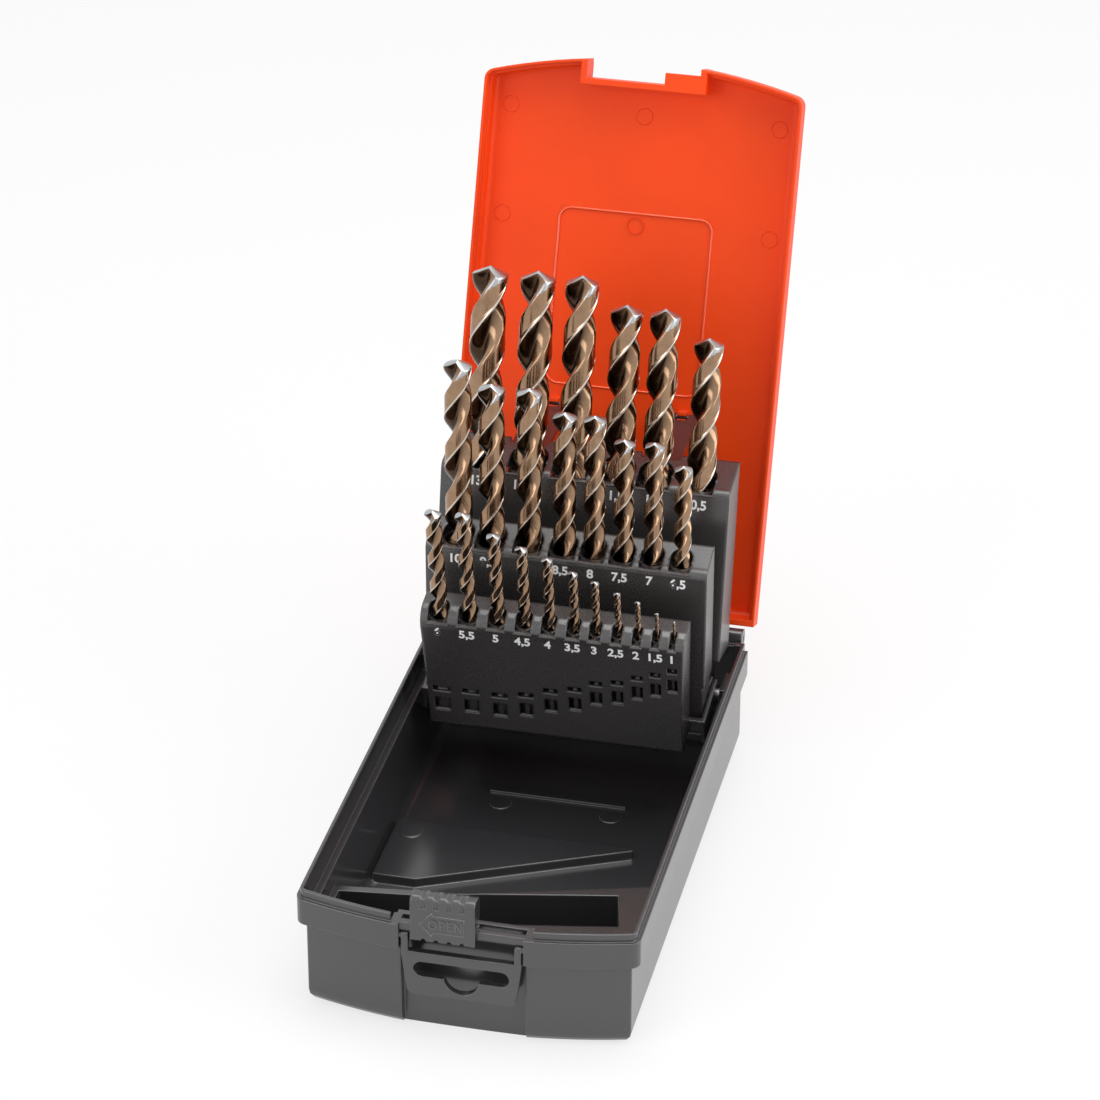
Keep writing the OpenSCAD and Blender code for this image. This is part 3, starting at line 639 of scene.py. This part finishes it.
def drill_mesh(size, turn):
    """The whole mesh of one drill, standing at the origin."""
    drill = Drill(size, turn)
    made = bmesh.new()
    layer = made.loops.layers.float_color.new("finish")
    shank = drill.shank_rings(made)
    rings = shank + drill.flute_rings(made)
    skin(made, layer, drill, rings, len(shank))
    close_ends(made, layer, drill, rings)
    for edge in made.edges:
        if len(edge.link_faces) == 2 and edge.calc_face_angle() > math.radians(CREASE):
            edge.smooth = False
    mesh = bpy.data.meshes.new(node_name(size))
    made.to_mesh(mesh)
    made.free()
    mesh.materials.append(drill_bronze)
    return mesh


# %% [markdown]
# ## Drills in their sleeves
# Each drill rides on its own body and takes the place of its plain solid, so it slides out as the solid
# would. On the real set the lips all point about the same way, with small differences. A random turn
# would need a seed to give the same picture every time, so a simple rule steps through a fixed spread
# instead.

# %% Stand the drills in their sleeves
# Direction of the lips, and the fixed steps and spread of the drills' own turns, in degrees
LIPS = 52.0
TURN_STEP = 37
TURN_SPREAD = 26
# Clear of the sleeve's floor by a hair, so that the two never share a plane
SEAT_PLAY = 0.03


def add_piece(name, mesh, body, stand=Matrix()):
    """An object for a mesh that rides on a body of the model."""
    made = bpy.data.objects.new(name, mesh)
    bpy.context.collection.objects.link(made)
    made.matrix_world = stand
    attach(made, body)
    return made


for rack in racks:
    for place, size in enumerate(rack.sizes):
        name = node_name(size)
        mesh = drill_mesh(size, LIPS + (place * TURN_STEP) % TURN_SPREAD - TURN_SPREAD / 2)
        foot = Vector((rack.across(size), rack.axis * MM, rack.seat(size) + SEAT_PLAY * MM))
        stand = rack.frame @ Matrix.Translation(foot)
        piece = add_piece(name + "_ground", mesh, name, stand)
        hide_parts(name)
print("drills", sum(len(rack.sizes) for rack in racks))

# %% [markdown]
# ## Numbers
# Every sleeve has its size printed under it in white. The sizes are plain numbers with a decimal comma.
# They could be painted by a texture, which would need the rack unwrapped and a sharp image. A text curve
# turned into a mesh keeps its edges at any distance, and stands a hair proud of the plastic, as a pad
# print does.

# %% Printing ink
# Waves of the faint wear to the metre
WEAR_SCALE = 1500.0


def ink():
    made = Finish("print_white", Roughness=0.5)
    wear = made.noise(WEAR_SCALE, detail=2.0)
    made.set("Base Color", made.mix(wear, (0.84, 0.84, 0.84), (0.95, 0.95, 0.95)))
    return made.material


print_white = ink()
print(print_white.name, "made")

# %% Words as meshes
# Turns lettering that lies flat so that it stands and faces the front
UPRIGHT = Matrix.Rotation(math.radians(90), 4, "X")


def curve_mesh(curve):
    """The mesh of a curve or text, with the curve's holder removed."""
    holder = bpy.data.objects.new(curve.name, curve)
    bpy.context.collection.objects.link(holder)
    bpy.context.view_layer.update()
    mesh = bpy.data.meshes.new_from_object(holder.evaluated_get(bpy.context.evaluated_depsgraph_get()))
    bpy.data.objects.remove(holder)
    return mesh


def words_mesh(words, height, weight, spacing, proud):
    """Flat lettering about the origin; weight fattens it, and proud is its thickness."""
    curve = bpy.data.curves.new("words", "FONT")
    curve.body = words
    curve.size = height * MM
    curve.align_x = "CENTER"
    curve.align_y = "CENTER"
    curve.offset = weight * MM
    curve.space_character = spacing
    curve.extrude = proud / 2 * MM
    return curve_mesh(curve)


def joined(name, meshes, material):
    """One mesh of several, in one material."""
    made = bmesh.new()
    for mesh in meshes:
        made.from_mesh(mesh)
    whole = bpy.data.meshes.new(name)
    made.to_mesh(whole)
    made.free()
    whole.materials.clear()
    whole.materials.append(material)
    return whole


# %% Printed numbers
NUMBER_HEIGHT = 4.8
NUMBER_WEIGHT = 0.14
NUMBER_SPACING = 1.0
PRINT_PROUD = 0.06


def printed_numbers(rack):
    """The numbers of a rack as one piece, each under its drill."""
    meshes = []
    for size in rack.sizes:
        words = f"{size:g}".replace(".", ",")
        mesh = words_mesh(words, NUMBER_HEIGHT, NUMBER_WEIGHT, NUMBER_SPACING, PRINT_PROUD)
        centre = Vector((rack.across(size), (rack.front - PRINT_PROUD / 2) * MM, rack.label * MM))
        mesh.transform(Matrix.Translation(centre) @ UPRIGHT)
        meshes.append(mesh)
    name = "numbers_" + rack.name
    return add_piece(name, joined(name, meshes, print_white), rack.name, rack.frame)


for rack in racks:
    print(printed_numbers(rack).name, "made")

# %% [markdown]
# ## Lips and sills on the racks
# Mouldings carry thin raised lines: here a lip under each notch for a drill, and a sill in each window of
# the front rack. Each is a round bead that lies half sunk in its surface. It could be swept and joined to
# the rack with a boolean, but nobody sees the sunk half. A curve with a round bevel along a line of
# points is enough.

# %% Beads
# Fineness of a bead's round section, in Blender's own steps
BEAD_ROUNDNESS = 2


def bead(name, lines, radius, material, closed=False):
    """A round bead along each line of points, all in millimetres."""
    curve = bpy.data.curves.new(name, "CURVE")
    curve.dimensions = "3D"
    curve.bevel_depth = radius * MM
    curve.bevel_resolution = BEAD_ROUNDNESS
    curve.use_fill_caps = True
    for line in lines:
        spline = curve.splines.new("POLY")
        spline.points.add(len(line) - 1)
        for point, place in zip(spline.points, line):
            point.co = (*(Vector(place) * MM), 1)
        spline.use_cyclic_u = closed
    mesh = curve_mesh(curve)
    mesh.materials.clear()
    mesh.materials.append(material)
    for face in mesh.polygons:
        face.use_smooth = True
    return mesh


# %% Lips under the notches
# The bead's thickness, its place on the rack, and the notch's room round the drill
LIP_RADIUS = 0.42
LIP_SUNK = 0.12
LIP_DROP = 0.35
NOTCH_PLAY = 0.6
LIP_OVERRUN = 0.5


def lip(rack, size):
    across = rack.across(size) / MM
    half = size / 2 + NOTCH_PLAY + LIP_OVERRUN
    return [(across + side * half, rack.front + LIP_SUNK, rack.ledge - LIP_DROP) for side in (-1, 1)]


for rack in racks:
    lips = bead("lips", [lip(rack, size) for size in rack.sizes], LIP_RADIUS, rack_black)
    print(add_piece("lips_" + rack.name, lips, rack.name, rack.frame).name, "made")

# %% Sills of the front rack's windows
# Height of each window's sill, in the order of the drills
WINDOWS = (7.7, 8, 7.8, 9.5, 12.9, 15.1, 19.1, 20.8, 24.2, 26.7, 29.5)
SILL_RADIUS = 0.7
SILL_SUNK = 0.75
# Half of a window's width grows with its drill, and the sill stops short of the window's sides
WINDOW_HALF = 1.65
WINDOW_GROWTH = 0.2
SILL_SHORT = 0.1


def sill(rack, size, height):
    across = rack.across(size) / MM
    half = WINDOW_HALF + WINDOW_GROWTH * size - SILL_SHORT
    return [(across + side * half, rack.front + SILL_SUNK, height) for side in (-1, 1)]


front_rack = racks[0]
sill_lines = [sill(front_rack, size, height) for size, height in zip(front_rack.sizes, WINDOWS)]
sills = bead("sills", sill_lines, SILL_RADIUS, rack_black)
print(add_piece("sills_front", sills, "rack_front", front_rack.frame).name, "made")

# %% [markdown]
# ## The lid's panel
# A shallow rectangular panel is sunk into the inside of the lid, with round corners and a polished edge.
# The solid has the recess with square corners. Four small plates fill them up to an arc, and a bead runs
# round the edge. That leaves the solid as it is, and needs no boolean in the finished mesh. The points
# are given as they lie in the shut lid, where they are easy to measure, and swing with the frame at its
# hinge.

# %% The frame of the lid
HINGE = Vector(joints["lid_hinge"]["pos_m"])
LID_OPEN = joints["lid_hinge"]["range_deg"][0]
LID_INSIDE = 53.3
lid_frame = (
    Matrix.Translation(HINGE) @ Matrix.Rotation(math.radians(LID_OPEN), 4, "X") @ Matrix.Translation(-HINGE)
)
print("lid opens by", -LID_OPEN, "degrees")

# %% Corners and edge of the panel
# Left, low, right and high side
PANEL = (-28.6, -49.5, 28.6, 15.6)
PANEL_ROUND = 4.5
PANEL_DEPTH = 0.4
EDGE_RADIUS = 0.45
EDGE_SUNK = 0.1
ARC_STEPS = 8


def corner_arcs():
    """The four rounded corners of the panel: its corner and the arc's points, going round."""
    left, low, right, high = PANEL
    for x, y, start in ((right, high, 0), (left, high, 90), (left, low, 180), (right, low, 270)):
        middle_x = x - math.copysign(PANEL_ROUND, x)
        middle_y = y - (PANEL_ROUND if y == high else -PANEL_ROUND)
        arc = []
        for step in range(ARC_STEPS + 1):
            angle = math.radians(start + 90 * step / ARC_STEPS)
            arc.append((middle_x + PANEL_ROUND * math.cos(angle), middle_y + PANEL_ROUND * math.sin(angle)))
        yield (x, y), arc


def panel_corners():
    """Four small plates that turn the square corners of the recess into round ones."""
    made = bmesh.new()
    top = (LID_INSIDE + PANEL_DEPTH) * MM
    for corner, arc in corner_arcs():
        cap = made.faces.new([made.verts.new((x * MM, y * MM, top)) for x, y in [corner] + arc[::-1]])
        grown = bmesh.ops.extrude_face_region(made, geom=[cap])
        for item in grown["geom"]:
            if isinstance(item, bmesh.types.BMVert):
                item.co.z -= PANEL_DEPTH * MM
    bmesh.ops.recalc_face_normals(made, faces=made.faces)
    mesh = bpy.data.meshes.new("panel_corners")
    made.to_mesh(mesh)
    made.free()
    mesh.materials.append(lid_orange)
    return mesh


corners = add_piece("panel_corners", panel_corners(), "lid", lid_frame)
edge_line = [(x, y, LID_INSIDE + EDGE_SUNK) for _, arc in corner_arcs() for x, y in arc]
panel_edge = bead("panel_edge", [edge_line], EDGE_RADIUS, lid_polished, closed=True)
print(corners.name, "and", add_piece("panel_edge", panel_edge, "lid", lid_frame).name, "made")

# %% [markdown]
# ## Ejector rings in the lid
# The pins that push a moulding out of its tool leave faint rings, here six on the inside of the lid. A
# bump in the material would be lost in a mesh that is printed or measured, so each ring is a very thin
# bead, closed on itself.

# %% Ejector rings
EJECTOR_RING = 3.0
EJECTOR_BEAD = 0.16
RING_STEPS = 32
# Distances in front of the hinge, and to either side
EJECTOR_ROWS = (186, 146)
EJECTOR_COLUMNS = (-50, 0, 50)

turns = [2 * math.pi * step / RING_STEPS for step in range(RING_STEPS)]
circle = [EJECTOR_RING * Vector((math.cos(turn), math.sin(turn), 0)) for turn in turns]
rings = []
for along in EJECTOR_ROWS:
    for across in EJECTOR_COLUMNS:
        middle = Vector((across, HINGE.y / MM - along, LID_INSIDE))
        rings.append([middle + point for point in circle])
ring_mesh = bead("ejector_rings", rings, EJECTOR_BEAD, lid_orange, closed=True)
print(len(rings), add_piece("ejector_rings", ring_mesh, "lid", lid_frame).name)

# %% [markdown]
# ## Arrow and word on the latch
# The latch has the raised outline of an arrow with the word OPEN in it, moulded in the same black, so
# that only the light on its edges shows it. Relief in the material would not be part of the mesh, so the
# outline is a bead, and the word is a thick text mesh, fitted to a measured width and height.

# %% Arrow and word
LATCH_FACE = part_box("latch_slider")[0][1] / MM
# The outline's corners, across and up: the tip, a side of the head, the shaft and the other side
ARROW = ((-13.8, 45.4), (-9.6, 50.0), (-9.2, 48.9), (1.3, 48.9), (1.3, 42.4), (-9.2, 42.4), (-9.7, 41.0))
ARROW_RADIUS = 0.26
WORD_MIDDLE = (-4.9, 45.5)
WORD_SIZE = (11.6, 3.7)
WORD_HEIGHT = 4.6
WORD_WEIGHT = 0.03
WORD_SPACING = 1.2
WORD_PROUD = 0.5


def fitted_word():
    """The word on the latch, stretched to its measured size."""
    word = words_mesh("OPEN", WORD_HEIGHT, WORD_WEIGHT, WORD_SPACING, WORD_PROUD)
    shares = []
    for axis, wanted in enumerate(WORD_SIZE):
        places = [vertex.co[axis] for vertex in word.vertices]
        shares.append(wanted * MM / (max(places) - min(places)))
    fitted = Matrix.Diagonal((*shares, 1.0, 1.0))
    middle = Vector((WORD_MIDDLE[0], LATCH_FACE, WORD_MIDDLE[1])) * MM
    word.transform(Matrix.Translation(middle) @ UPRIGHT @ fitted)
    return word


arrow = bead("latch_arrow", [[(x, LATCH_FACE, z) for x, z in ARROW]], ARROW_RADIUS, sign_black, closed=True)
sign = joined("latch_sign", [arrow, fitted_word()], sign_black)
print(add_piece("latch_sign", sign, "latch_slider").name, "made")

# %% [markdown]
# ## Floor
# The picture is a catalogue shot, white all round. More light would make the floor white, but would wash
# out the case as well. Instead the camera and the reflections see a floor that is mostly its own white
# glow, and the rest of it is a diffuse surface that takes the case's shadow.

# %% Floor
FLOOR_WHITENESS = 0.72
FLOOR_REACH = 6.0


def seen_rays(nodes):
    """1 for rays from the camera and off glossy surfaces, and 0 for the rays that carry diffuse light."""
    rays = nodes.node("ShaderNodeLightPath")
    return rays["Is Camera Ray"].most(rays["Is Glossy Ray"])


def floor_finish():
    made = Finish("floor", Base_Color=(0.86, 0.86, 0.86), Roughness=0.9, Specular_IOR_Level=0.1)
    white = made.node("ShaderNodeEmission", {}, {"Color": (1, 1, 1, 1), "Strength": 1.0})
    surface = Wire(made, made.shader.outputs["BSDF"])
    sockets = {0: seen_rays(made) * FLOOR_WHITENESS, 1: surface, 2: white["Emission"]}
    shared = made.node("ShaderNodeMixShader", {}, sockets)
    made.feed(made.tree.nodes["Material Output"].inputs["Surface"], shared["Shader"])
    return made.material


floor_corners = [(x * FLOOR_REACH, y * FLOOR_REACH, 0) for x, y in ((-1, -1), (1, -1), (1, 1), (-1, 1))]
floor_mesh = bpy.data.meshes.new("floor")
floor_mesh.from_pydata(floor_corners, [], [(0, 1, 2, 3)])
floor_mesh.materials.append(floor_finish())
floor = bpy.data.objects.new("floor", floor_mesh)
bpy.context.collection.objects.link(floor)
print("floor", 2 * FLOOR_REACH, "m wide")

# %% [markdown]
# ## Light
# Three large soft lamps stand overhead, on the right and at the front left, where the photograph's
# highlights and shadows put them. Small lamps would give hard glints on the drills. The world is white to
# the camera and in reflections, and lights the case more gently than it looks.

# %% Lamps
def soft_light(name, place, aim, width, height, power):
    """A rectangular lamp that faces a point, in metres and watts."""
    data = bpy.data.lights.new(name, "AREA")
    data.shape = "RECTANGLE"
    data.size = width
    data.size_y = height
    data.energy = power
    light = bpy.data.objects.new(name, data)
    bpy.context.collection.objects.link(light)
    light.location = place
    light.rotation_euler = (Vector(aim) - Vector(place)).to_track_quat("-Z", "Y").to_euler()
    print(name, power, "W")


soft_light("overhead", place=(0.1, 0.1, 1.5), aim=(0, 0, 0.05), width=1.1, height=0.8, power=11.0)
soft_light("right_side", place=(1.3, -0.1, 0.6), aim=(0, 0, 0.1), width=0.9, height=1.2, power=9.0)
soft_light("front_left", place=(-1.0, -1.2, 0.9), aim=(0, 0, 0.1), width=0.9, height=0.9, power=7.0)

# %% World
# Strength of the world as light on the case, and as the background that is seen
WORLD_LIGHT = 0.58
WORLD_SEEN = 1.0

world = bpy.data.worlds.new("world")
bpy.context.scene.world = world
world.use_nodes = True
sky = Nodes(world.node_tree)
background = sky.tree.nodes["Background"]
sockets = {"Value": seen_rays(sky), "To Min": WORLD_LIGHT, "To Max": WORLD_SEEN}
level = sky.node("ShaderNodeMapRange", {}, sockets)
sky.feed(background.inputs["Color"], (1, 1, 1, 1))
sky.feed(background.inputs["Strength"], level["Result"])
print("world", WORLD_LIGHT, "on the case")
